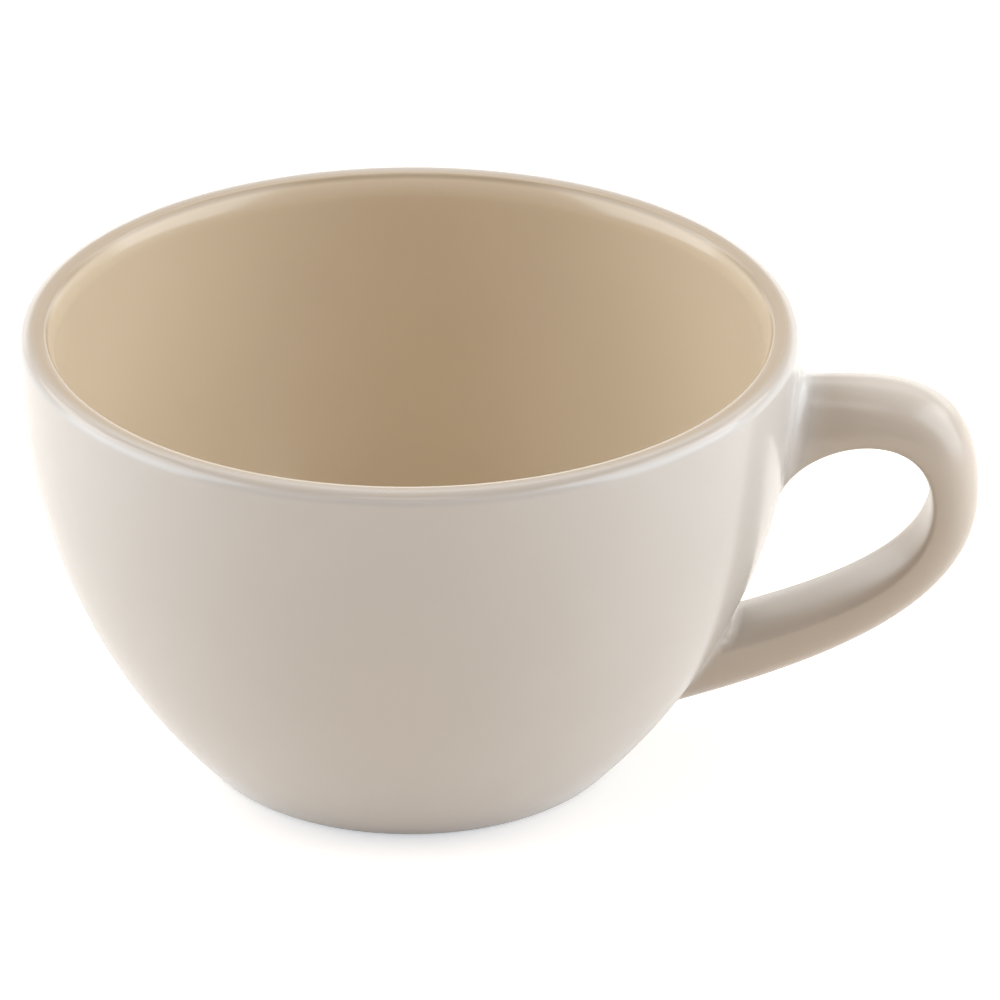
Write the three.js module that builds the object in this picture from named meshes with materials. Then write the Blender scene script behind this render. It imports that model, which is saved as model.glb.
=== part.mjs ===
// A wide two-tone cup with an ear handle. Millimetres, +Z up, standing on Z = 0, handle towards +X.
// The bowl is cast in two layers, an off-white shell and a beige liner, whose seam lies on top of the rim.
// The handle is made on its own and stuck to the shell, with a cove of joining clay round each root.

import * as THREE from 'three';

// Bowl
const rimRadius = 52.5; // outside of the upright lip
const cupHeight = 63; // standing plane to the crest of the rim
const lipHeight = 4; // upright stretch of the wall, measured down from the crest
const wallArcRadius = 84.5; // the one arc that the outside wall follows
const shellWall = 1.6; // off-white layer, in the wall
const shellFloor = 1.9; // off-white layer, under the floor
const linerWall = 3.05; // beige layer, in the wall
const linerFloor = 2.9; // beige layer, on the floor
const layerGap = 0.05; // clearance between the two layers
const outerEdgeRadius = 1.8; // rounding of the rim on the outside
const crestDomeRadius = 3.5; // low dome on top of the rim, inwards from its highest circle
const crestDomeFall = 13; // degrees by which the dome tilts before the inside edge begins
const innerEdgeRadius = 0.5; // small rounding of the rim on the inside, below the dome
const innerFlareRadius = 4.9; // larger rounding below it, by which the inside leans out towards the crest
const innerFlareLean = 40; // degrees from upright at which the two inside roundings meet
const floorSweepRadius = 20; // sweep from the floor up into the wall, on the inside

// Foot
const footCornerRadius = 2; // where the wall turns under
const footRingWidth = 4.5; // bare flat ring that the cup stands on
const recessDepth = 1.5; // underside inside the ring, above the standing plane
const recessRun = 2.2; // width of the soft step from the ring up to the recess

// Handle: an outer and an inner contour, each of two curves that meet at the outermost point
const handleStandOut = 24.6; // outermost point, measured out from the lip
const crownDrop = 23.4; // outermost point, measured down from the crest of the rim
const handleThickness = 6.6; // strap between its two contours, at the outermost point
const handleWidth = 13.7; // strap across, at its widest line
const innerShare = 0.17; // share of the thickness that lies inside the widest line
const innerFullness = 2.6; // superellipse power of the section inside that line: more is squarer
const outerFullness = 2; // the same outside it: 2 is an ellipse
const upperRootDrop = 6.9; // crest of the rim down to the top of the upper root
const upperRootHeight = 14.6; // upper root, along the height of the wall
const lowerRootRise = 6.9; // standing plane up to the bottom of the lower root
const lowerRootHeight = 11.7; // lower root, along the height of the wall

// Directions in which the contours leave the wall, in degrees above level
const outerTopAngle = 1.1;
const outerTailAngle = 18.2;
const innerTopAngle = 63;
const innerTailAngle = 18.3;

// Lengths of the contours' tangent arms, which set how full each bend is
const outerTopArm = 12;
const outerCrownArmUp = 17.9;
const outerCrownArmDown = 17.7;
const outerTailArm = 17.9;
const innerTopArm = 9.6;
const innerCrownArmUp = 11.9;
const innerCrownArmDown = 11.7;
const innerTailArm = 13.3;

// Joining clay
const upperCoveRadius = 2;
const lowerCoveRadius = 1.4;
const coveEdge = 0.15; // thickness of a cove at its thin edges
const jointGap = 0.1; // clearance of the handle and the coves from what they seat on

// Facets
const turnSegments = 56;
const wallSteps = 10;
const sweepSteps = 5;
const cornerSteps = 4;
const edgeSteps = 4;
const domeSteps = 2;
const recessSteps = 5;
const sectionSides = 24;
const ringsPerCurve = 10;
const capRings = 3;
const coveSteps = 4;

// Colours and finish
const offWhite = { color: 0xd3cfc9, roughness: 0.24, metalness: 0 };
const beige = { color: 0xcebea7, roughness: 0.24, metalness: 0 };

const point2 = (x, y) => new THREE.Vector2(x, y);
const degrees = THREE.MathUtils.degToRad;
const arm = (angle, length) => point2(length, 0).rotateAround(point2(0, 0), degrees(angle));

// Centre, in the half-section of the bowl, of the arcs that all surfaces of the wall share
const wallCentre = point2(rimRadius - wallArcRadius, cupHeight - lipHeight);
const seamRadius = rimRadius - shellWall;
const shellFloorTop = recessDepth + shellFloor;

function arcPoints(centre, radius, from, to, steps) {
  const arc = new THREE.EllipseCurve(centre.x, centre.y, radius, radius, from, to, to < from);
  return arc.getPoints(steps);
}

// Half-section of one surface of the bowl, going up: a sweep that rolls from a level floor into the wall's
// arc, then the arc as far as the upright lip.
function bowlSurface(wallRadius, floorHeight, sweepRadius, steps) {
  const rise = floorHeight + sweepRadius - wallCentre.y;
  const run = Math.sqrt((wallRadius - sweepRadius) ** 2 - rise ** 2);
  const sweepCentre = point2(wallCentre.x + run, floorHeight + sweepRadius);
  const meeting = Math.atan2(rise, run);
  return [
    ...arcPoints(sweepCentre, sweepRadius, -Math.PI / 2, meeting, steps),
    ...arcPoints(wallCentre, wallRadius, meeting, 0, wallSteps).slice(1),
  ];
}

// Rounding of the rim on the outside, which the seam divides between the shell and the liner
const outerEdgeCentre = point2(rimRadius - outerEdgeRadius, cupHeight - outerEdgeRadius);

function outerEdgeAngle(radius) {
  const share = (radius - outerEdgeCentre.x) / outerEdgeRadius;
  return Math.acos(THREE.MathUtils.clamp(share, 0, 1));
}

function rimHeightAt(radius) {
  return outerEdgeCentre.y + outerEdgeRadius * Math.sin(outerEdgeAngle(radius));
}

// Roundings of the rim on the inside, going down: the dome of the crest, the small edge, then the flare into
// the wall. The flare is held to the width of the rim and to the height of the lip.
function innerLip(insideRadius) {
  const fall = degrees(crestDomeFall);
  const lean = degrees(innerFlareLean);
  const edgeInDome = arm(90 + crestDomeFall, crestDomeRadius - innerEdgeRadius);
  const edgeDrop = crestDomeRadius - edgeInDome.y;
  const roomAcross = outerEdgeCentre.x + edgeInDome.x - innerEdgeRadius * Math.cos(lean) - insideRadius;
  const roomDown = lipHeight - edgeDrop;
  const flareRadius = Math.min(
    innerFlareRadius,
    roomAcross / (1 - Math.cos(lean)),
    innerEdgeRadius + roomDown / Math.sin(lean));
  const apart = flareRadius - innerEdgeRadius;
  const edgeCentre = point2(insideRadius + flareRadius - apart * Math.cos(lean), cupHeight - edgeDrop);
  const domeCentre = edgeCentre.clone().sub(edgeInDome);
  const flareCentre = point2(insideRadius + flareRadius, edgeCentre.y - apart * Math.sin(lean));
  return [
    ...arcPoints(domeCentre, crestDomeRadius, Math.PI / 2, Math.PI / 2 + fall, domeSteps),
    ...arcPoints(edgeCentre, innerEdgeRadius, Math.PI / 2 + fall, Math.PI - lean, edgeSteps),
    ...arcPoints(flareCentre, flareRadius, Math.PI - lean, Math.PI, edgeSteps),
  ];
}

// A half-section turned about the bowl's axis, once points that fall on each other are dropped
function turned(profile) {
  const distinct = profile.filter((point, i) => i === 0 || point.distanceTo(profile[i - 1]) > 1e-6);
  return new THREE.LatheGeometry(distinct, turnSegments).rotateX(Math.PI / 2);
}

function shellGeometry() {
  const outside = bowlSurface(wallArcRadius, 0, footCornerRadius, cornerSteps);
  const ringInside = outside[0].x - footRingWidth;
  const recess = new THREE.CubicBezierCurve(
    point2(ringInside - recessRun, recessDepth),
    point2(ringInside - recessRun / 2, recessDepth),
    point2(ringInside - recessRun / 2, 0),
    point2(ringInside, 0),
  );
  const edge = arcPoints(outerEdgeCentre, outerEdgeRadius, 0, outerEdgeAngle(seamRadius), edgeSteps);
  const seat = bowlSurface(
    wallArcRadius - shellWall, shellFloorTop, floorSweepRadius + linerWall + layerGap, sweepSteps);
  return turned([
    point2(0, recessDepth),
    ...recess.getPoints(recessSteps),
    ...outside,
    ...edge,
    point2(seamRadius, rimHeightAt(seamRadius)),
    ...seat.reverse(),
    point2(0, shellFloorTop),
  ]);
}

function linerGeometry() {
  const backRadius = seamRadius - layerGap;
  const insideRadius = backRadius - linerWall;
  const back = bowlSurface(
    wallArcRadius - shellWall - layerGap, shellFloorTop + layerGap, floorSweepRadius + linerWall, sweepSteps);
  const inside = bowlSurface(
    wallArcRadius - shellWall - layerGap - linerWall,
    shellFloorTop + layerGap + linerFloor,
    floorSweepRadius,
    sweepSteps);
  return turned([
    point2(0, shellFloorTop + layerGap),
    ...back,
    ...arcPoints(outerEdgeCentre, outerEdgeRadius, outerEdgeAngle(backRadius), Math.PI / 2, edgeSteps),
    ...innerLip(insideRadius),
    ...inside.reverse(),
    point2(0, shellFloorTop + layerGap + linerFloor),
  ]);
}

// Outside of the wall, where the handle stands
function wallRadiusAt(height) {
  const drop = Math.max(0, wallCentre.y - height);
  return wallCentre.x + Math.sqrt(wallArcRadius ** 2 - drop ** 2);
}

function wallNormalAt(point) {
  const drop = Math.max(0, wallCentre.y - point.z);
  const tilt = Math.asin(drop / wallArcRadius);
  const around = Math.atan2(point.y, point.x);
  return new THREE.Vector3(
    Math.cos(around) * Math.cos(tilt), Math.sin(around) * Math.cos(tilt), -Math.sin(tilt));
}

// The point moved level, towards or away from the bowl's axis, until it lies a clearance off the wall
function ontoWall(point, clearance) {
  const tilt = Math.asin(Math.max(0, wallCentre.y - point.z) / wallArcRadius);
  const radius = wallRadiusAt(point.z) + clearance / Math.cos(tilt);
  const share = radius / Math.hypot(point.x, point.y);
  return new THREE.Vector3(point.x * share, point.y * share, point.z);
}

const upperRootTop = cupHeight - upperRootDrop;
const upperRootBottom = upperRootTop - upperRootHeight;
const lowerRootTop = lowerRootRise + lowerRootHeight;
const crown = point2(rimRadius + handleStandOut, cupHeight - crownDrop);

// One contour of the handle, from the upper root over its outermost point to the lower root
function contour(topHeight, topArm, outermost, armUp, armDown, tailHeight, tailArm) {
  const top = point2(wallRadiusAt(topHeight), topHeight);
  const tail = point2(wallRadiusAt(tailHeight), tailHeight);
  const above = outermost.clone().add(point2(0, armUp));
  const below = outermost.clone().sub(point2(0, armDown));
  return [
    new THREE.CubicBezierCurve(top, top.clone().add(topArm), above, outermost),
    new THREE.CubicBezierCurve(outermost, below, tail.clone().add(tailArm), tail),
  ];
}

const outerContour = contour(
  upperRootTop, arm(outerTopAngle, outerTopArm),
  crown, outerCrownArmUp, outerCrownArmDown,
  lowerRootRise, arm(outerTailAngle, outerTailArm));

const innerContour = contour(
  upperRootBottom, arm(innerTopAngle, innerTopArm),
  crown.clone().sub(point2(handleThickness, 0)), innerCrownArmUp, innerCrownArmDown,
  lowerRootTop, arm(innerTailAngle, innerTailArm));

// Stations along the handle count its curves: they run from 0 at the upper root, over 1 at the outermost
// point, to the last one at the lower root
const upperRoot = 0;
const lowerRoot = outerContour.length;
const stationStep = 1 / ringsPerCurve;

function contourPoint(curves, station) {
  const curve = station < 1 ? 0 : 1;
  return curves[curve].getPoint(station - curve);
}

// The strap's section is a D with its flat side towards the bowl: two half superellipses of one width, which
// meet at the widest line and share the thickness unequally.
function sectionHalf(turn) {
  return Math.cos(turn) > 0
    ? { share: 1 - innerShare, fullness: outerFullness }
    : { share: innerShare, fullness: innerFullness };
}

function signedPower(value, power) {
  return Math.sign(value) * Math.abs(value) ** power;
}

// A point of the section, and the way the section faces there
function strapPoint(station, turn, scale = 1) {
  const { share, fullness } = sectionHalf(turn);
  const through = innerShare + signedPower(Math.cos(turn), 2 / fullness) * share * scale;
  const across = signedPower(Math.sin(turn), 2 / fullness) * scale * handleWidth / 2;
  const place = contourPoint(innerContour, station).lerp(contourPoint(outerContour, station), through);
  return new THREE.Vector3(place.x, across, place.y);
}

function strapFacing(station, turn) {
  const { share, fullness } = sectionHalf(turn);
  const thickness = contourPoint(outerContour, station).sub(contourPoint(innerContour, station));
  const through = signedPower(Math.cos(turn), 2 - 2 / fullness) / (share * thickness.length());
  const across = signedPower(Math.sin(turn), 2 - 2 / fullness) / (handleWidth / 2);
  const outwards = thickness.setLength(1).multiplyScalar(through);
  return new THREE.Vector3(outwards.x, across, outwards.y).normalize();
}

const turns = Array.from({ length: sectionSides }, (_, i) => 2 * Math.PI * i / sectionSides);

function meshGeometry(vertices, faces) {
  const geometry = new THREE.BufferGeometry();
  const numbers = vertices.flatMap((vertex) => vertex.toArray());
  geometry.setAttribute('position', new THREE.Float32BufferAttribute(numbers, 3));
  geometry.setIndex(faces.flat());
  geometry.computeVertexNormals();
  return geometry;
}

// Faces that join ring after ring of the same number of points
function bandFaces(ringCount, ringSize, closed) {
  const faces = [];
  for (let ring = 0; ring < ringCount - (closed ? 0 : 1); ring += 1) {
    for (let side = 0; side < ringSize; side += 1) {
      const next = (side + 1) % ringSize;
      const here = ring * ringSize;
      const there = ((ring + 1) % ringCount) * ringSize;
      faces.push([here + side, there + next, here + next], [here + side, there + side, there + next]);
    }
  }
  return faces;
}

// The strap: rings from root to root, closed at each end by a cap that follows the wall
function handleGeometry() {
  const capScales = Array.from({ length: capRings }, (_, i) => (i + 1) / capRings);
  const rootRing = (station, scale) => turns.map(
    (turn) => ontoWall(strapPoint(station, turn, scale), jointGap));
  const freeStations = Array.from({ length: lowerRoot * ringsPerCurve - 1 }, (_, i) => (i + 1) * stationStep);
  const rings = [
    ...capScales.map((scale) => rootRing(upperRoot, scale)),
    ...freeStations.map((station) => turns.map((turn) => strapPoint(station, turn))),
    ...capScales.map((scale) => rootRing(lowerRoot, scale)).reverse(),
  ];
  const vertices = rings.flat();
  const firstPole = vertices.length;
  const lastPole = firstPole + 1;
  vertices.push(ontoWall(strapPoint(upperRoot, 0, 0), jointGap));
  vertices.push(ontoWall(strapPoint(lowerRoot, 0, 0), jointGap));
  const faces = bandFaces(rings.length, sectionSides, false);
  const lastRing = (rings.length - 1) * sectionSides;
  for (let side = 0; side < sectionSides; side += 1) {
    const next = (side + 1) % sectionSides;
    faces.push([firstPole, side, next], [lastPole, lastRing + next, lastRing + side]);
  }
  return meshGeometry(vertices, faces);
}

// One section of a cove: a ball of the cove's radius rolled along the corner between strap and wall
function coveSection(root, neighbour, turn, radius) {
  const corner = ontoWall(strapPoint(root, turn), jointGap);
  const alongStrap = strapPoint(neighbour, turn).sub(corner).normalize();
  const normal = wallNormalAt(corner);
  const facing = strapFacing(root, turn);
  const alongWall = facing.addScaledVector(normal, -facing.dot(normal)).normalize();
  const opening = alongStrap.angleTo(alongWall);
  const offStrap = alongWall.clone().addScaledVector(alongStrap, -Math.cos(opening)).normalize();
  const offWall = alongStrap.clone().addScaledVector(alongWall, -Math.cos(opening)).normalize();
  const middle = alongStrap.clone().add(alongWall).normalize();

  const ballDistance = (radius + jointGap + coveEdge) / Math.sin(opening / 2);
  const ball = corner.clone().addScaledVector(middle, ballDistance);
  const leg = ballDistance * Math.cos(opening / 2);
  const sweep = Math.PI - opening;
  const hollow = Array.from({ length: coveSteps + 1 }, (_, i) => {
    const share = i / coveSteps;
    const towardsStrap = Math.sin((1 - share) * sweep) / Math.sin(sweep);
    const towardsWall = Math.sin(share * sweep) / Math.sin(sweep);
    return ball.clone()
      .addScaledVector(offStrap, -radius * towardsStrap)
      .addScaledVector(offWall, -radius * towardsWall);
  });
  return [
    corner.clone().addScaledVector(middle, jointGap / Math.sin(opening / 2)),
    corner.clone().addScaledVector(alongStrap, leg).addScaledVector(offStrap, jointGap),
    ...hollow,
    corner.clone().addScaledVector(alongWall, leg).addScaledVector(offWall, jointGap),
  ];
}

function slipJointGeometry(root, neighbour, radius) {
  const sections = turns.map((turn) => coveSection(root, neighbour, turn, radius));
  const ordered = root < neighbour ? sections : sections.reverse();
  return meshGeometry(ordered.flat(), bandFaces(ordered.length, ordered[0].length, true));
}

const cup = new THREE.Group();
cup.position.x = -handleStandOut / 2; // the middle of the footprint, handle included, is the origin

function addPiece(name, geometry, finish) {
  const mesh = new THREE.Mesh(geometry, new THREE.MeshStandardMaterial(finish));
  mesh.name = name;
  cup.add(mesh);
}

const upperJoint = slipJointGeometry(upperRoot, upperRoot + stationStep, upperCoveRadius);
const lowerJoint = slipJointGeometry(lowerRoot, lowerRoot - stationStep, lowerCoveRadius);

addPiece('outer_shell', shellGeometry(), offWhite);
addPiece('inner_liner', linerGeometry(), beige);
addPiece('handle', handleGeometry(), offWhite);
addPiece('upper_slip_joint', upperJoint, offWhite);
addPiece('lower_slip_joint', lowerJoint, offWhite);

export default cup;
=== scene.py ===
# %% [markdown]
# # A two-tone coffee cup
# The cup is a wide, low bowl cast in two layers, off-white outside and beige inside, with an ear-shaped handle
# stuck on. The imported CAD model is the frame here: it fixes every size and place. Each piece below is modelled
# again as a smooth, glazed surface in the same place, and then stands for its CAD node.

# %% Load the frame
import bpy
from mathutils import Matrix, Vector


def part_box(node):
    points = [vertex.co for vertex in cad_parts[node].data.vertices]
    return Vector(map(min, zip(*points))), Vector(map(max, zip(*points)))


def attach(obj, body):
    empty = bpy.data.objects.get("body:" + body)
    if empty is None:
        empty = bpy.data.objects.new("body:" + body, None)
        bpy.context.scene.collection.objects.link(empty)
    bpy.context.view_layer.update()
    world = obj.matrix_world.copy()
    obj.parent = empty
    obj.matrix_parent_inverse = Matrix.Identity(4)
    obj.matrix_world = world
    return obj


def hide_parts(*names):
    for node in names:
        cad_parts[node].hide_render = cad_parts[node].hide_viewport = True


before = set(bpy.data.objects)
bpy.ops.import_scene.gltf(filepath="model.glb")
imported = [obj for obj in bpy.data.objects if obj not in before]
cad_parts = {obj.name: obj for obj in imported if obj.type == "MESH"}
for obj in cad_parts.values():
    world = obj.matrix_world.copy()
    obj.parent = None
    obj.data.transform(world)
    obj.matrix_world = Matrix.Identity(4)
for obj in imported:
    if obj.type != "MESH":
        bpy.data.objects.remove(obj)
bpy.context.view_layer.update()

print("CAD nodes:", sorted(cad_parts))

# %% [markdown]
# Blender works in metres. The box of the outer shell tells where the bowl's axis stands and the radius of the
# rim, and the box of the liner, which forms the crest of the rim, tells the height. The other sizes are the
# cup's own, and each one is written where it is first needed.

# %% Sizes that the frame gives
import math

import bmesh
import bpy
from mathutils import Vector

mm = 0.001
shell_low, shell_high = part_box("outer_shell")
axis_x = (shell_low.x + shell_high.x) / 2
rim_radius = (shell_high.x - shell_low.x) / 2
cup_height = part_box("inner_liner")[1].z

print(f"bowl axis at x = {axis_x / mm:.2f} mm")
print(f"rim radius {rim_radius / mm:.2f} mm, height {cup_height / mm:.2f} mm")

# %% [markdown]
# ## Drawing an outline
# A potter shapes a bowl with a template that is turned about the axis. In Blender the same can be done with the
# Screw modifier or a curve, but drawing the template by hand is clearer: a plane is merged to one point, the
# point is extruded along straight stretches, and Spin sweeps it round a centre where the template is rounded.
# The pen is always the one selected point.

# %% Outline tools
def start_outline(name, radius, height):
    """A new mesh of one point, placed in the half-section of the bowl, in edit mode."""
    bpy.ops.object.select_all(action="DESELECT")
    bpy.ops.mesh.primitive_plane_add(size=rim_radius)
    piece = bpy.context.object
    piece.name = name
    bpy.ops.object.mode_set(mode="EDIT")
    bpy.ops.mesh.select_all(action="SELECT")
    bpy.ops.mesh.merge(type="CENTER")
    bpy.ops.transform.translate(value=(axis_x + radius, 0, height))
    return piece


def line_to(piece, radius, height, steps=1):
    """Extrudes the pen along a straight line, in equal steps, to a radius and a height."""
    pen = next(v.co for v in bmesh.from_edit_mesh(piece.data).verts if v.select)
    stride = Vector((axis_x + radius - pen.x, 0, height - pen.z)) / steps
    for _ in range(steps):
        bpy.ops.mesh.extrude_region_move(TRANSFORM_OT_translate={"value": stride})


def arc(centre, degrees, steps):
    """Spins the pen round a centre in the half-section. Positive degrees turn from outwards to upwards."""
    radius, height = centre
    bpy.ops.mesh.spin(
        steps=steps, angle=math.radians(degrees), center=(axis_x + radius, 0, height), axis=(0, 1, 0))


print("outline tools: a start, a straight line and an arc")

# %% [markdown]
# Once the outline is closed on the axis, one Spin of a whole turn makes the body. The points on the axis are
# then stacked on each other, so doubles are merged before the normals are turned outwards. Smoothing by angle
# keeps the true edges crisp and everything else round.

# %% Turning and smoothing tools
turn_steps = 192
weld_distance = 0.0005 * mm
crisp_angle = math.radians(40)


def close_up(piece):
    """Merges doubles, turns the faces outwards and leaves edit mode with a smooth surface."""
    bpy.ops.mesh.select_all(action="SELECT")
    bpy.ops.mesh.remove_doubles(threshold=weld_distance)
    bpy.ops.mesh.normals_make_consistent(inside=False)
    bpy.ops.object.mode_set(mode="OBJECT")
    bpy.ops.object.shade_smooth_by_angle(angle=crisp_angle)
    low, high = (Vector(f(c[i] for c in piece.bound_box) for i in range(3)) for f in (min, max))
    size = " x ".join(f"{side / mm:.2f}" for side in high - low)
    print(f"{piece.name}: {len(piece.data.vertices)} points, {len(piece.data.polygons)} faces, {size} mm")


def turn(piece):
    """Spins the whole outline once round the bowl's axis."""
    bpy.ops.mesh.select_all(action="SELECT")
    bpy.ops.mesh.spin(steps=turn_steps, angle=2 * math.pi, center=(axis_x, 0, 0), axis=(0, 0, 1))
    close_up(piece)


print(f"{turn_steps} steps to a turn")

# %% [markdown]
# ## The wall of the bowl
# One arc makes the whole wall, from a small corner at the foot to an upright lip, and every surface of the wall
# is a piece of an arc round the same centre. Near the floor each surface rolls from that arc into the level by
# a second, smaller arc that touches it. Geometry gives the place where the two meet.

# %% Arcs of the wall
lip_height = 4 * mm
wall_arc = 84.5 * mm
wall_steps = 40
sweep_steps = 14
wall_centre = (rim_radius - wall_arc, cup_height - lip_height)


def floor_sweep(wall, floor, sweep):
    """Centre of the arc that joins a level floor to the wall's arc, and the angle at which they meet."""
    rise = floor + sweep - wall_centre[1]
    run = math.sqrt((wall - sweep) ** 2 - rise ** 2)
    return (wall_centre[0] + run, floor + sweep), math.degrees(math.atan2(rise, run))


def draw_wall_up(wall, floor, sweep):
    """From the level floor, round the sweep and up the wall's arc."""
    centre, meeting = floor_sweep(wall, floor, sweep)
    arc(centre, 90 + meeting, sweep_steps)
    arc(wall_centre, -meeting, wall_steps)


def draw_wall_down(wall, floor, sweep):
    """Down the wall's arc and round the sweep to the level floor."""
    centre, meeting = floor_sweep(wall, floor, sweep)
    arc(wall_centre, meeting, wall_steps)
    arc(centre, -90 - meeting, sweep_steps)


print(f"centre of the wall's arcs: radius {wall_centre[0] / mm:.1f} mm, height {wall_centre[1] / mm:.1f} mm")

# %% [markdown]
# ## The outer shell
# The off-white layer. Underneath it has a standing ring round a shallow recess, with a soft step between them
# that two equal arcs draw. On top its wall ends in the outer rounding of the rim, which it shares with the
# liner: the shell stops at the seam, where its colour ends.

# %% Sizes of the shell
shell_wall = 1.6 * mm
shell_floor = 1.9 * mm
foot_corner = 2 * mm
foot_ring_width = 4.5 * mm
recess_depth = 1.5 * mm
recess_run = 2.2 * mm
outer_edge = 1.8 * mm
edge_steps = 12
floor_steps = 6
ring_steps = 3

seam_radius = rim_radius - shell_wall
seat_floor = recess_depth + shell_floor
outer_edge_centre = (rim_radius - outer_edge, cup_height - outer_edge)
seam_angle = math.degrees(math.acos((seam_radius - outer_edge_centre[0]) / outer_edge))

print(f"seam at radius {seam_radius / mm:.2f} mm, {seam_angle:.1f} degrees round the rim's outer edge")

# %% [markdown]
# The inside of the shell is the seat of the liner, so the liner's thickness has to be known first. On the real
# cup the two layers are fired into one. Here a gap of a few thousandths of a millimetre keeps them apart as
# pieces, too narrow to show.

# %% Liner sizes that the shell's seat follows
liner_wall = 3.05 * mm
liner_floor = 2.9 * mm
floor_sweep_radius = 20 * mm
seam_gap = 0.004 * mm

seat_sweep = floor_sweep_radius + liner_wall + seam_gap

print(f"the seat rolls into the floor by an arc of {seat_sweep / mm:.2f} mm")

# %% [markdown]
# The outline runs from the axis along the recess, over the soft step to the standing ring, round the foot, up the
# outside, over the rim to the seam, and back down the inside to the axis. A lathe would give the same body, and
# Spin is Blender's lathe.

# %% Turn the shell
corner_centre, _ = floor_sweep(wall_arc, 0, foot_corner)
ring_inside = corner_centre[0] - foot_ring_width
step_degrees = 2 * math.degrees(math.atan2(recess_depth, recess_run))
step_radius = recess_run / 2 / math.sin(math.radians(step_degrees))

shell = start_outline("cup_outer_shell", 0, recess_depth)
line_to(shell, ring_inside - recess_run, recess_depth, steps=floor_steps)
arc((ring_inside - recess_run, recess_depth - step_radius), -step_degrees, edge_steps)
arc((ring_inside, step_radius), step_degrees, edge_steps)
line_to(shell, corner_centre[0], 0, steps=ring_steps)
draw_wall_up(wall_arc, 0, foot_corner)
line_to(shell, rim_radius, outer_edge_centre[1])
arc(outer_edge_centre, seam_angle, edge_steps)
line_to(shell, seam_radius, wall_centre[1])
draw_wall_down(wall_arc - shell_wall, seat_floor, seat_sweep)
line_to(shell, 0, seat_floor)
turn(shell)

# %% [markdown]
# ## The inner liner
# The beige layer fills the shell. Its top edge carries on the rim's outer rounding from the seam, crosses the
# slightly domed crest, and turns down into the bowl by a small rounding and then a wider flare, so the inside
# leans out a little towards the lip. That flare is what catches the studio light as a bright band inside a
# glazed rim.

# %% Turn the liner
crest_dome = 3.5 * mm
crest_fall = 13
inner_edge = 0.5 * mm
inner_flare = 4.9 * mm
flare_lean = 40
crest_steps = 3
seam_steps = 2

back_radius = seam_radius - seam_gap
inside_radius = back_radius - liner_wall
back_angle = math.degrees(math.acos((back_radius - outer_edge_centre[0]) / outer_edge))
back_height = outer_edge_centre[1] + outer_edge * math.sin(math.radians(back_angle))
fall, lean = math.radians(crest_fall), math.radians(flare_lean)
inner_edge_centre = (
    inside_radius + inner_flare - (inner_flare - inner_edge) * math.cos(lean),
    cup_height - crest_dome + (crest_dome - inner_edge) * math.cos(fall))
inner_flare_centre = (
    inside_radius + inner_flare, inner_edge_centre[1] - (inner_flare - inner_edge) * math.sin(lean))
crest_centre = (inner_edge_centre[0] + (crest_dome - inner_edge) * math.sin(fall), cup_height - crest_dome)
back_floor = seat_floor + seam_gap
inside_floor = back_floor + liner_floor
back_arc = wall_arc - shell_wall - seam_gap
back_sweep = floor_sweep_radius + liner_wall

back_sweep_centre, _ = floor_sweep(back_arc, back_floor, back_sweep)
liner = start_outline("cup_inner_liner", 0, back_floor)
line_to(liner, back_sweep_centre[0], back_floor)
draw_wall_up(back_arc, back_floor, back_sweep)
line_to(liner, back_radius, back_height)
arc(outer_edge_centre, 90 - back_angle, seam_steps)
line_to(liner, crest_centre[0], cup_height, steps=crest_steps)
arc(crest_centre, crest_fall, edge_steps)
arc(inner_edge_centre, 90 - flare_lean - crest_fall, edge_steps)
arc(inner_flare_centre, flare_lean, edge_steps)
line_to(liner, inside_radius, wall_centre[1])
draw_wall_down(back_arc - liner_wall, inside_floor, floor_sweep_radius)
line_to(liner, 0, inside_floor, steps=floor_steps)
turn(liner)

# %% [markdown]
# ## The handle
# The handle is a soft strap, thick where it leaves the wall and thinner round its crown. Seen from the side it
# lies between two contours, and each contour is two Bezier curves that meet at the outermost point. A curve
# object with a bevel would keep one thickness, so the strap is extruded by hand instead: one ring, extruded
# station by station, and each new ring is fitted between the contours by scale, rotate and move.

# %% Contours of the handle
stand_out = 24.6 * mm
crown_drop = 23.4 * mm
strap_thickness = 6.6 * mm
strap_width = 13.7 * mm
upper_root_drop = 6.9 * mm
upper_root_height = 14.6 * mm
lower_root_height = 11.7 * mm
upper_root_top = cup_height - upper_root_drop
upper_root_bottom = upper_root_top - upper_root_height
lower_root_bottom = 6.9 * mm
lower_root_top = lower_root_bottom + lower_root_height
crown = Vector((axis_x + rim_radius + stand_out, 0, cup_height - crown_drop))
up = Vector((0, 0, 1))


def wall_point(height):
    """The point of the outside wall at a height, on the handle's side."""
    drop = max(0, wall_centre[1] - height)
    return Vector((axis_x + wall_centre[0] + math.sqrt(wall_arc ** 2 - drop ** 2), 0, height))


def arm(degrees, length):
    """A tangent arm: a direction above level, and a length that sets how full the bend is."""
    return Vector((math.cos(math.radians(degrees)), 0, math.sin(math.radians(degrees)))) * length


def contour(top, top_arm, outermost, arm_up, arm_down, tail, tail_arm):
    """Two Bezier curves that run upright through the outermost point."""
    return [
        (top, top + top_arm, outermost + arm_up * up, outermost),
        (outermost, outermost - arm_down * up, tail + tail_arm, tail),
    ]


outer_contour = contour(
    top=wall_point(upper_root_top), top_arm=arm(1.1, 12 * mm),
    outermost=crown, arm_up=17.9 * mm, arm_down=17.7 * mm,
    tail=wall_point(lower_root_bottom), tail_arm=arm(18.2, 17.9 * mm))
inner_contour = contour(
    top=wall_point(upper_root_bottom), top_arm=arm(63, 9.6 * mm),
    outermost=crown - Vector((strap_thickness, 0, 0)), arm_up=11.9 * mm, arm_down=11.7 * mm,
    tail=wall_point(lower_root_top), tail_arm=arm(18.3, 13.3 * mm))

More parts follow.
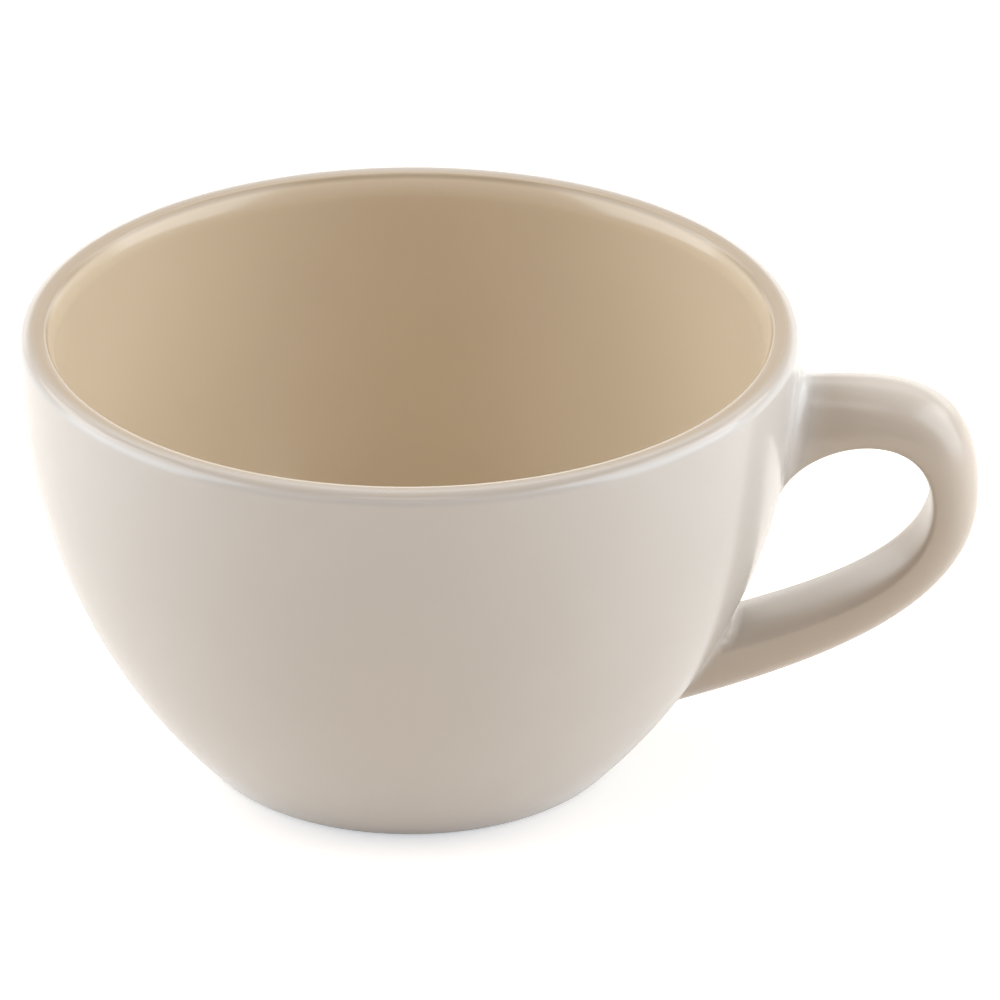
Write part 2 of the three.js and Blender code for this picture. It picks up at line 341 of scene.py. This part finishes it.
print(f"crown of the handle at x = {crown.x / mm:.1f} mm, z = {crown.z / mm:.1f} mm")

# %% [markdown]
# A station is a place along the strap, counted from 0 at the upper root, over 1 at the crown, to 2 at the lower
# root. At each one the two contours tell how thick the strap is, where it lies and how it leans. At the roots
# one more ring is sunk under the surface of the wall, so that no gap can show.

# %% Rings of the strap
upper_root, lower_root = 0, 2
inner_share = 0.17


def contour_point(curves, station):
    """The point of a contour at a station."""
    curve = 0 if station < 1 else 1
    a, b, c, d = curves[curve]
    t = station - curve
    return a * (1 - t) ** 3 + b * 3 * t * (1 - t) ** 2 + c * 3 * t * t * (1 - t) + d * t ** 3


def ring_at(station):
    """Middle of the strap's widest line, its thickness, and the angle at which the thickness lies."""
    outer = contour_point(outer_contour, station)
    inner = contour_point(inner_contour, station)
    through = outer - inner
    return inner + inner_share * through, through.length, math.atan2(through.z, through.x)


def sunk_ring(station, towards_wall):
    """The root's ring, pushed under the surface of the wall."""
    middle, thickness, angle = ring_at(station)
    return middle + towards_wall, thickness, angle


def fit_ring(here, there):
    """Turns the selected ring level, fits its thickness, then turns and moves it to its new place."""
    middle, thickness, angle = here
    new_middle, new_thickness, new_angle = there
    bpy.ops.transform.rotate(value=-angle, orient_axis="Y", center_override=middle)
    bpy.ops.transform.resize(value=(new_thickness / thickness, 1, 1), center_override=middle)
    bpy.ops.transform.rotate(value=new_angle, orient_axis="Y", center_override=middle)
    bpy.ops.transform.translate(value=new_middle - middle)


print("strap at the crown:", round(ring_at(1)[1] / mm, 2), "mm thick")

# %% [markdown]
# The ring starts as a circle. The real section is like a D: round on the outside of the ear, and nearly flat on
# the inside, where the finger lies, so that the widest line runs close to the inner face. Each half of the
# circle is therefore squeezed to its own share of the thickness. Both halves are also filled out, the inner one
# more, by raising the cosines and sines of their points to a power below 1, which gives a superellipse.

# %% Extrude the handle
section_sides = 64
rings_per_curve = 36
outer_fullness = 2.25
inner_fullness = 2.6
root_sink = 0.8 * mm


def section_point(angle_round, thickness):
    """A point of the section: how far it lies through the strap and across it, from the widest line's middle."""
    through, across = math.cos(angle_round), math.sin(angle_round)
    outside = through > 0
    power = 2 / (outer_fullness if outside else inner_fullness)
    share = 1 - inner_share if outside else inner_share
    return (
        math.copysign(abs(through) ** power, through) * share * thickness,
        math.copysign(abs(across) ** power, across) * strap_width / 2)


bpy.ops.object.select_all(action="DESELECT")
bpy.ops.mesh.primitive_circle_add(vertices=section_sides, radius=strap_width / 2)
handle = bpy.context.object
handle.name = "cup_handle"
bpy.ops.object.mode_set(mode="EDIT")
bpy.ops.mesh.select_all(action="SELECT")
section = bmesh.from_edit_mesh(handle.data)
for point in section.verts:
    point.co.x, point.co.y = section_point(math.atan2(point.co.y, point.co.x), strap_thickness)
bmesh.update_edit_mesh(handle.data)

into_wall = -root_sink * Vector((1, 0, 0))
rings = [sunk_ring(upper_root, into_wall)]
rings += [ring_at(i / rings_per_curve) for i in range(lower_root * rings_per_curve + 1)]
rings += [sunk_ring(lower_root, into_wall)]
here = (Vector((0, 0, 0)), strap_thickness, 0)
fit_ring(here, rings[0])
for here, there in zip(rings, rings[1:]):
    bpy.ops.mesh.extrude_region_move(TRANSFORM_OT_translate={"value": (0, 0, 0)})
    fit_ring(here, there)
bpy.ops.mesh.edge_face_add()
bpy.ops.mesh.select_all(action="DESELECT")
bpy.ops.mesh.select_non_manifold()
bpy.ops.mesh.edge_face_add()
close_up(handle)

# %% [markdown]
# ## The slip joints
# The handle is stuck on with slip, and the slip squeezed out round each root is smoothed into a cove. Its
# surface is that of a ball rolled along the corner, touching the strap and the wall at once. Bevelling the
# edge of a boolean would be quicker, but it tears where the strap leaves the wall at a flat angle, so the place
# of the ball is worked out ring by ring.

# %% Where the strap and the wall are
def strap_point(station, angle_round):
    """A point of the strap's surface."""
    middle, thickness, angle = ring_at(station)
    through, across = section_point(angle_round, thickness)
    return middle + Vector((math.cos(angle) * through, across, math.sin(angle) * through))


def strap_normal(station, angle_round):
    """Square to the strap's surface, pointing away from its middle."""
    nudge = 0.0005
    station = min(max(station, upper_root + nudge), lower_root - nudge)
    along = strap_point(station + nudge, angle_round) - strap_point(station - nudge, angle_round)
    round_it = strap_point(station, angle_round + nudge) - strap_point(station, angle_round - nudge)
    normal = along.cross(round_it).normalized()
    outwards = strap_point(station, angle_round) - ring_at(station)[0]
    return normal if normal.dot(outwards) > 0 else -normal


def from_wall_centre(point):
    """The point seen from the nearest centre of the wall's arc: its length less the arc is the gap."""
    round_axis = Vector((point.x - axis_x, point.y, 0))
    radius = round_axis.length
    drop = max(0, wall_centre[1] - point.z)
    return round_axis * ((radius - wall_centre[0]) / radius) - drop * up


def wall_gap(point):
    """How far a point lies outside the wall."""
    return from_wall_centre(point).length - wall_arc


print(f"wall gap at the crown: {wall_gap(crown) / mm:.1f} mm")

# %% [markdown]
# The ball's centre stays one radius away from the strap. Sliding along the strap it gets nearer to the wall or
# farther from it, so halving the stretch again and again finds the place where it touches both. The cove is the
# part of the ball's surface between the two points of touch.

# %% Roll the ball
halvings = 40
reach = 0.8


def roll_ball(root, direction, angle_round, radius):
    """Centre of a ball that touches strap and wall, and its directions away from both."""
    near, far = 0, reach
    for _ in range(halvings):
        share = (near + far) / 2
        station = root + direction * share
        normal = strap_normal(station, angle_round)
        centre = strap_point(station, angle_round) + radius * normal
        if wall_gap(centre) < radius:
            near = share
        else:
            far = share
    return centre, normal, from_wall_centre(centre).normalized()


def ring_of_cove(balls, share, radius, dip):
    """Points at a share of the way from the strap to the wall, on every ball."""
    points = []
    for centre, off_strap, off_wall in balls:
        sweep = off_strap.angle(off_wall)
        blend = off_strap * math.sin((1 - share) * sweep) + off_wall * math.sin(share * sweep)
        facing = blend / math.sin(sweep)
        points.append(centre - (radius + dip) * facing)
    return points


print("balls are placed by", halvings, "halvings")

# %% [markdown]
# Each joint is a closed ring of clay: a bed hidden in the corner, then the hollow surface, ring after ring, from
# the strap to the wall. Its edges dip a few thousandths of a millimetre under both surfaces, so that no gap
# shows. Extruding shuffles the order of the points, so each one carries its place in the ring as a number.

# %% Extrude the coves
upper_cove = 2 * mm
lower_cove = 1.4 * mm
place_name = "place in ring"
cove_sides = 128
cove_steps = 20
cove_dip = 0.004 * mm
bed_depth = 0.5 * mm


def extrude_cove(name, root, direction, radius):
    """A closed ring of joining clay: a bed inside the corner, then the hollow from strap to wall."""
    turns = [2 * math.pi * i / cove_sides for i in range(cove_sides)]
    balls = [roll_ball(root, direction, angle_round, radius) for angle_round in turns]
    bed = [
        strap_point(root, angle_round) - bed_depth * (off_strap + off_wall)
        for angle_round, (_, off_strap, off_wall) in zip(turns, balls)]
    hollow = [
        ring_of_cove(balls, i / cove_steps, radius, cove_dip if i in (0, cove_steps) else 0)
        for i in range(cove_steps + 1)]
    bpy.ops.object.select_all(action="DESELECT")
    bpy.ops.mesh.primitive_circle_add(vertices=cove_sides, radius=strap_width)
    cove = bpy.context.object
    cove.name = name
    bpy.ops.object.mode_set(mode="EDIT")
    bpy.ops.mesh.select_all(action="SELECT")
    mesh = bmesh.from_edit_mesh(cove.data)
    place = mesh.verts.layers.int.new(place_name)
    for i, point in enumerate(mesh.verts):
        point[place] = i
        point.co = bed[i]
    for ring in hollow:
        bpy.ops.mesh.extrude_region_move(TRANSFORM_OT_translate={"value": (0, 0, 0)})
        mesh = bmesh.from_edit_mesh(cove.data)
        place = mesh.verts.layers.int[place_name]
        for point in mesh.verts:
            if point.select:
                point.co = ring[point[place]]
    bmesh.update_edit_mesh(cove.data)
    bpy.ops.mesh.select_all(action="DESELECT")
    bpy.ops.mesh.select_non_manifold()
    bpy.ops.mesh.bridge_edge_loops()
    close_up(cove)
    cove.data.attributes.remove(cove.data.attributes[place_name])
    return cove


upper_joint = extrude_cove("cup_upper_slip_joint", upper_root, 1, upper_cove)
lower_joint = extrude_cove("cup_lower_slip_joint", lower_root, -1, lower_cove)

# %% [markdown]
# ## Glazes
# A glaze is a thin skin of glass over the clay. It is glossy but never quite flat: it has a faint orange peel,
# its gloss drifts from place to place, and its colour is deeper where it pooled in the kiln. All of it comes
# from noise on Object coordinates, in metres, so that the pattern keeps its scale on every piece.

# %% Node tools
# The Mix node has an A, a B and a Result for every kind of value, so those for colours are reached by number.
mix_first, mix_second, mix_result = 6, 7, 2


def new_material(name):
    """A material, its nodes, its links and its Principled BSDF."""
    material = bpy.data.materials.new(name)
    material.use_nodes = True
    nodes = material.node_tree.nodes
    return material, nodes, material.node_tree.links, nodes["Principled BSDF"]


def noise(nodes, links, coordinates, scale, detail):
    node = nodes.new("ShaderNodeTexNoise")
    node.inputs["Scale"].default_value = scale
    node.inputs["Detail"].default_value = detail
    links.new(coordinates, node.inputs["Vector"])
    return node.outputs["Fac"]


def ramp(nodes, links, value, start, end, low, high, smooth=False):
    """Maps a value from start..end to low..high, and stays there outside."""
    node = nodes.new("ShaderNodeMapRange")
    node.interpolation_type = "SMOOTHSTEP" if smooth else "LINEAR"
    for name, number in (("From Min", start), ("From Max", end), ("To Min", low), ("To Max", high)):
        node.inputs[name].default_value = number
    links.new(value, node.inputs["Value"])
    return node.outputs["Result"]


def mix_colour(nodes, links, share, first, second):
    """Mixes two colours, each either a colour or another node's output."""
    node = nodes.new("ShaderNodeMix")
    node.data_type = "RGBA"
    links.new(share, node.inputs["Factor"])
    for socket, colour in ((node.inputs[mix_first], first), (node.inputs[mix_second], second)):
        if isinstance(colour, tuple):
            socket.default_value = (*colour, 1)
        else:
            links.new(colour, socket)
    return node.outputs[mix_result]


def maths(nodes, links, operation, first, second):
    node = nodes.new("ShaderNodeMath")
    node.operation = operation
    links.new(first, node.inputs[0])
    links.new(second, node.inputs[1])
    return node.outputs["Value"]


print("node tools: noise, ramp, mixed colours and maths")

# %% [markdown]
# All the glazes share one function for gloss and orange peel, and one for colour. The numbers of the noises are
# scales, in patches to the metre, and details, in layers of finer patches.

# %% Colour and gloss of a glaze
off_white = (0.62, 0.605, 0.59)
off_white_deep = (0.61, 0.595, 0.58)
beige = (0.67, 0.565, 0.425)
beige_deep = (0.66, 0.555, 0.415)
glaze_ior = 1.55
patch_scale, patch_detail = 70, 3
patch_range = (0.35, 0.75)
drift_scale, drift_detail = 40, 2
noise_range = (0.3, 0.7)
peel_scale, peel_detail = 420, 2
peel_strength = 0.06
peel_depth = 0.05 * mm


def mottled(nodes, links, coordinates, colour, deep):
    """The glaze's colour, drifting towards its deeper shade in soft patches of a centimetre or so."""
    patches = noise(nodes, links, coordinates, patch_scale, patch_detail)
    return mix_colour(nodes, links, ramp(nodes, links, patches, *patch_range, 0, 1, smooth=True), colour, deep)


def gloss(nodes, links, coordinates, shader, smoothest=0.17, roughest=0.24):
    """Gloss that drifts, and an orange peel far too shallow to feel. Returns the roughness."""
    shader.inputs["IOR"].default_value = glaze_ior
    drift = noise(nodes, links, coordinates, drift_scale, drift_detail)
    roughness = ramp(nodes, links, drift, *noise_range, smoothest, roughest)
    links.new(roughness, shader.inputs["Roughness"])
    bump = nodes.new("ShaderNodeBump")
    bump.inputs["Strength"].default_value = peel_strength
    bump.inputs["Distance"].default_value = peel_depth
    links.new(noise(nodes, links, coordinates, peel_scale, peel_detail), bump.inputs["Height"])
    links.new(bump.outputs["Normal"], shader.inputs["Normal"])
    return roughness


print("off-white", off_white, "beige", beige)

# %% [markdown]
# On the crest of the rim both colours are painted darker, a painted shade on the crest that faces up, and the
# two colours flow into each other over about a millimetre and a half. The shell and the liner use the same blend
# there, measured from the bowl's axis, so that it carries on across the seam. The line is poured a little oval,
# nearer the inside at front and back.

# %% Painted shade on the rim
# Crest colours with painted shade: darker than the glazes, for the crest that faces up.
beige_painted_rim_shade = (0.46, 0.365, 0.26)
off_white_painted_rim_shade = (0.52, 0.465, 0.41)
shade_from, shade_to = 0.9 * mm, 0.3 * mm
seam_oval = 1.022
seam_shift = 0.2 * mm
seam_half = 0.8 * mm


def height_of(nodes, links, coordinates):
    node = nodes.new("ShaderNodeSeparateXYZ")
    links.new(coordinates, node.inputs["Vector"])
    return node.outputs["Z"]


def painted_rim_shade(nodes, links, coordinates, colour, shaded_colour):
    """A colour with painted shade, darker towards the top of the rim's crest."""
    height = height_of(nodes, links, coordinates)
    # Painted shade: the share of the darker crest colour rises towards the top of the rim.
    shade_share = ramp(nodes, links, height, cup_height - shade_from, cup_height - shade_to, 0, 1, smooth=True)
    return mix_colour(nodes, links, shade_share, colour, shaded_colour)


def axis_distance(nodes, links, coordinates, squash):
    """Level distance from the bowl's axis, with front and back stretched by the squash."""
    centred = nodes.new("ShaderNodeMapping")
    centred.inputs["Location"].default_value = (-axis_x, 0, 0)
    centred.inputs["Scale"].default_value = (1, squash, 0)
    links.new(coordinates, centred.inputs["Vector"])
    length = nodes.new("ShaderNodeVectorMath")
    length.operation = "LENGTH"
    links.new(centred.outputs["Vector"], length.inputs[0])
    return length.outputs["Value"]


def rim_blend(nodes, links, coordinates):
    """0 on the beige side of the rim's seam, 1 on the off-white side."""
    off_axis = axis_distance(nodes, links, coordinates, seam_oval)
    middle = seam_radius + seam_shift
    return ramp(nodes, links, off_axis, middle - seam_half, middle + seam_half, 0, 1, smooth=True)


print(f"the colours meet {(seam_radius + seam_shift) / mm:.2f} mm from the axis")

# %% [markdown]
# The shell's glaze is off-white. On top of the rim it turns towards beige, and both are painted darker there as
# a painted shade. The standing ring is wiped clean before firing, so there the bare clay shows: dull and a little
# sandy, with an uneven edge.

# %% Off-white glaze with a bare standing ring and painted shade on the rim
bare_clay = (0.56, 0.50, 0.42)
bare_roughness = 0.8
bare_below, glazed_above = 0.25 * mm, 0.45 * mm
wobble_scale, wobble_detail = 160, 2
wobble_height = 0.1 * mm
blend_ends, blend_full = 2 * mm, 1.5 * mm


def shell_glaze():
    material, nodes, links, shader = new_material("off_white_glaze_with_bare_ring_and_painted_rim_shade")
    coordinates = nodes.new("ShaderNodeTexCoord").outputs["Object"]
    height = height_of(nodes, links, coordinates)
    roughness = gloss(nodes, links, coordinates, shader)
    mottle = mottled(nodes, links, coordinates, off_white, off_white_deep)
    # Painted shade on the crest of the rim.
    glaze = painted_rim_shade(nodes, links, coordinates, mottle, off_white_painted_rim_shade)
    below_rim = ramp(nodes, links, height, cup_height - blend_ends, cup_height - blend_full, 1, 0)
    outside = maths(nodes, links, "MAXIMUM", rim_blend(nodes, links, coordinates), below_rim)
    colour = mix_colour(nodes, links, outside, beige_painted_rim_shade, glaze)
    uneven = noise(nodes, links, coordinates, wobble_scale, wobble_detail)
    wobble = ramp(nodes, links, uneven, *noise_range, -wobble_height, wobble_height)
    edge = maths(nodes, links, "ADD", height, wobble)
    bare = ramp(nodes, links, edge, bare_below, glazed_above, 1, 0, smooth=True)
    links.new(mix_colour(nodes, links, bare, colour, bare_clay), shader.inputs["Base Color"])
    dull = ramp(nodes, links, bare, 0, 1, 0, bare_roughness)
    links.new(maths(nodes, links, "MAXIMUM", roughness, dull), shader.inputs["Roughness"])
    return material


print(f"the clay is bare below about {bare_below / mm:.2f} mm")

# %% [markdown]
# The liner's glaze covers the inside and most of the crest. On the crest it is painted darker, a painted shade,
# and flows into the off-white at the seam, by the same two functions that the shell uses.

# %% Beige glaze with painted shade on the rim
def liner_glaze():
    material, nodes, links, shader = new_material("beige_glaze_inside_with_painted_rim_shade")
    coordinates = nodes.new("ShaderNodeTexCoord").outputs["Object"]
    gloss(nodes, links, coordinates, shader)
    glaze = mottled(nodes, links, coordinates, beige, beige_deep)
    # Painted shade on the crest of the rim.
    inside = painted_rim_shade(nodes, links, coordinates, glaze, beige_painted_rim_shade)
    colour = mix_colour(nodes, links, rim_blend(nodes, links, coordinates), inside, off_white_painted_rim_shade)
    links.new(colour, shader.inputs["Base Color"])
    return material


# The crest colour printed here is beige with painted shade.
print("beige breaks to", beige_painted_rim_shade, "on the rim")

# %% [markdown]
# The handle is a shade deeper than the bowl, and pales to the bowl's own shade where it runs onto the wall: over
# a few millimetres at the upper root, and over little more than one at the lower root. That paling is partly the
# bowl's colour carried onto the roots and partly painted light, which lifts the shade in the corners there.
# Vertex paint could do that, but the distance from the wall's arc is known exactly, and the shader can measure
# it. The joints take the same glaze, so no line shows where they meet the handle.

# %% Handle and joint glaze, with painted light at the roots
strap_colour = (0.57, 0.515, 0.455)
strap_colour_deep = (0.56, 0.505, 0.445)
# How far the paling, partly painted light, reaches from the wall at each root.
upper_painted_light_spread = 5 * mm
lower_painted_light_spread = 1.3 * mm
changeover = 10 * mm


def off_the_wall(nodes, links, coordinates, spread):
    """0 on the bowl's wall, and 1 from a spread away."""
    section = nodes.new("ShaderNodeCombineXYZ")
    links.new(axis_distance(nodes, links, coordinates, 1), section.inputs["X"])
    links.new(height_of(nodes, links, coordinates), section.inputs["Z"])
    distance = nodes.new("ShaderNodeVectorMath")
    distance.operation = "DISTANCE"
    links.new(section.outputs["Vector"], distance.inputs[0])
    distance.inputs[1].default_value = (wall_centre[0], 0, wall_centre[1])
    return ramp(nodes, links, distance.outputs["Value"], wall_arc, wall_arc + spread, 0, 1, smooth=True)


def handle_glaze(name):
    """A shade deeper than the bowl, and as pale as the bowl where it runs onto the wall, partly as painted light.
    """
    material, nodes, links, shader = new_material(name)
    coordinates = nodes.new("ShaderNodeTexCoord").outputs["Object"]
    gloss(nodes, links, coordinates, shader, smoothest=0.22, roughest=0.28)
    height = height_of(nodes, links, coordinates)
    low_down = ramp(nodes, links, height, crown.z - changeover, crown.z, 1, 0, smooth=True)
    # Painted light in part: near the wall the strap pales to the bowl's shade, lifting the shade in the root
    # corners.
    beyond_upper_painted_light = off_the_wall(nodes, links, coordinates, upper_painted_light_spread)
    beyond_lower_painted_light = off_the_wall(nodes, links, coordinates, lower_painted_light_spread)
    beyond_lower_painted_light_low_down = maths(nodes, links, "MULTIPLY", low_down, beyond_lower_painted_light)
    strap = mottled(nodes, links, coordinates, strap_colour, strap_colour_deep)
    wall = mottled(nodes, links, coordinates, off_white, off_white_deep)
    strap_share = maths(nodes, links, "MAXIMUM", beyond_upper_painted_light, beyond_lower_painted_light_low_down)
    colour = mix_colour(nodes, links, strap_share, wall, strap)
    links.new(colour, shader.inputs["Base Color"])
    return material


# The paling printed here is partly painted light.
print(f"the handle pales over {upper_painted_light_spread / mm:.1f} mm above and {lower_painted_light_spread / mm:.1f} mm below")

# %% [markdown]
# Each piece wears one glaze, and the two joints share theirs. A material that is appended to a mesh with no
# slots covers all of its faces.

# %% Put the glazes on
joint_glaze = handle_glaze("off_white_glaze_with_painted_light_on_the_joints")
for piece, material in (
    (shell, shell_glaze()),
    (liner, liner_glaze()),
    (handle, handle_glaze("off_white_glaze_with_painted_light_on_the_handle")),
    (upper_joint, joint_glaze),
    (lower_joint, joint_glaze),
):
    piece.data.materials.append(material)
    print(piece.name, "wears", material.name)

# %% [markdown]
# ## Joining the frame
# Nothing on a cup moves, so every piece rides on the one body. Each stands for its own CAD node, which is
# hidden.

# %% Ride on the frame
for piece, node, slot in (
    (shell, "outer_shell", "off_white_glaze"),
    (liner, "inner_liner", "beige_glaze"),
    (handle, "handle", "off_white_glaze"),
    (upper_joint, "upper_slip_joint", "joint_glaze"),
    (lower_joint, "lower_slip_joint", "joint_glaze"),
):
    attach(piece, "root")
    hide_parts(node)
    print(piece.name, "stands for", node)

# %% [markdown]
# ## Stage and light
# The cup stands on a plain floor of warm white. The lamps alone would leave it a little grey, so for the camera
# and in reflections it also gives off some light of its own, which brings it to white and keeps the shadow.

# %% Floor
floor_width = 8
floor_colour = (0.82, 0.735, 0.64, 1)
floor_roughness = 0.9
floor_glow = (0.82, 0.91, 1, 1)
floor_lift = 0.55

bpy.ops.object.select_all(action="DESELECT")
bpy.ops.mesh.primitive_plane_add(size=floor_width)
floor = bpy.context.object
floor.name = "studio_floor"


def seen_directly(nodes, links):
    """1 for rays from the camera, or by way of a reflection or through glass, else 0."""
    path = nodes.new("ShaderNodeLightPath")
    seen = path.outputs["Is Camera Ray"]
    for name in ("Is Glossy Ray", "Is Transmission Ray"):
        seen = maths(nodes, links, "MAXIMUM", seen, path.outputs[name])
    return seen


def floor_paint():
    material, nodes, links, shader = new_material("studio_floor_paint")
    shader.inputs["Base Color"].default_value = floor_colour
    shader.inputs["Roughness"].default_value = floor_roughness
    shader.inputs["Specular IOR Level"].default_value = 0
    shader.inputs["Emission Color"].default_value = floor_glow
    lift = ramp(nodes, links, seen_directly(nodes, links), 0, 1, 0, floor_lift)
    links.new(lift, shader.inputs["Emission Strength"])
    return material


floor.data.materials.append(floor_paint())
print(floor.name, "is", floor_width, "m wide")

# %% [markdown]
# The camera sees white all round. Reflections see white behind the cup and fade to a dark grey in front, as in a
# studio that is dark on the camera's side, and that rounds the bowl in the picture. The light that fills the
# shadows is dim and warm, and dimmer in front as well.

# %% Surroundings
white = (1, 1, 1)
dark_grey = (0.15, 0.15, 0.15)
fill_in_front = (0.19, 0.10, 0.035)
fill_behind = (0.38, 0.31, 0.21)
fade_end = 0.7

world = bpy.data.worlds.new("white_studio")
world.use_nodes = True
bpy.context.scene.world = world
world_nodes, world_links = world.node_tree.nodes, world.node_tree.links
background = world_nodes["Background"]
seen = seen_directly(world_nodes, world_links)
facing = world_nodes.new("ShaderNodeSeparateXYZ")
sky = world_nodes.new("ShaderNodeTexCoord").outputs["Generated"]
world_links.new(sky, facing.inputs["Vector"])
behind = ramp(world_nodes, world_links, facing.outputs["Y"], -fade_end, fade_end, 0, 1)
fill = mix_colour(world_nodes, world_links, behind, fill_in_front, fill_behind)
mirrored = mix_colour(world_nodes, world_links, behind, dark_grey, white)
camera_ray = world_nodes.new("ShaderNodeLightPath").outputs["Is Camera Ray"]
shown = mix_colour(world_nodes, world_links, camera_ray, mirrored, white)
tint = mix_colour(world_nodes, world_links, seen, fill, shown)
world_links.new(tint, background.inputs["Color"])
print("fill light:", fill_in_front, "in front,", fill_behind, "behind")

# %% [markdown]
# Two large softboxes at the sides do most of the work, a little blue as daylight is. Two kickers behind them run
# the bands of light round the rim. A small box overhead gives the handle its soft band, and a box and a low panel
# behind draw the fine line on the inner lip. An area lamp's power spreads over its front, so each lamp's power is
# worked out from a brightness and the size of its front.

# %% Lamps
aim = Vector((axis_x, 0, cup_height / 2))
daylight = (0.85, 0.93, 1)
sides = (("left", -1), ("right", 1))


def direction(azimuth, elevation):
    """Azimuth 0 is towards the camera's side, 90 towards the handle's side."""
    a, e = math.radians(azimuth), math.radians(elevation)
    return Vector((math.sin(a) * math.cos(e), -math.cos(a) * math.cos(e), math.sin(e)))


def softbox(name, azimuth, elevation, distance, width, height, brightness, colour):
    """A lamp with a lit front of a width and a height, turned to the cup."""
    away = direction(azimuth, elevation)
    bpy.ops.object.light_add(type="AREA", location=aim + distance * away)
    lamp = bpy.context.object
    lamp.name = name
    lamp.rotation_euler = away.to_track_quat("Z", "Y").to_euler()
    lamp.data.shape = "RECTANGLE"
    lamp.data.size = width
    lamp.data.size_y = height
    lamp.data.color = colour
    lamp.data.energy = brightness * math.pi * width * height
    print(name, f"{lamp.data.energy:.1f} W")


for side, sign in sides:
    softbox(
        f"softbox_{side}", azimuth=sign * 84, elevation=28.5, distance=1.2,
        width=1.15, height=1.26, brightness=3.15, colour=daylight)
for side, sign in sides:
    softbox(
        f"kicker_{side}", azimuth=sign * 122, elevation=31, distance=1.4,
        width=0.6, height=0.5, brightness=2.8, colour=white)
softbox(
    "softbox_overhead", azimuth=0, elevation=66, distance=1.4,
    width=0.6, height=0.36, brightness=1.9, colour=white)
softbox(
    "softbox_behind", azimuth=180, elevation=45, distance=1.4,
    width=1.6, height=0.5, brightness=1, colour=white)
softbox(
    "panel_behind", azimuth=180, elevation=10, distance=1.5,
    width=2.4, height=0.5, brightness=1.2, colour=white)

# %% [markdown]
# ## Camera
# The photograph was taken from a little over a metre with a long lens, looking down at about 26 degrees, and
# turned slightly to the handle's side. The picture is taken to be 1000 by 1000.

# %% Camera
view_azimuth = 2.76
view_elevation = 26.54
view_distance = 1177.6 * mm
view_target = Vector((-0.144, 0.586, 36.39)) * mm
view_lens = 311.6
view_sensor = 36

away = direction(view_azimuth, view_elevation)
bpy.ops.object.camera_add(location=view_target + view_distance * away)
camera = bpy.context.object
camera.rotation_euler = away.to_track_quat("Z", "Y").to_euler()
camera.data.lens = view_lens
camera.data.sensor_width = view_sensor
bpy.context.scene.camera = camera
bpy.context.scene.view_settings.view_transform = "Standard"
print("camera at", [round(c, 3) for c in camera.location])
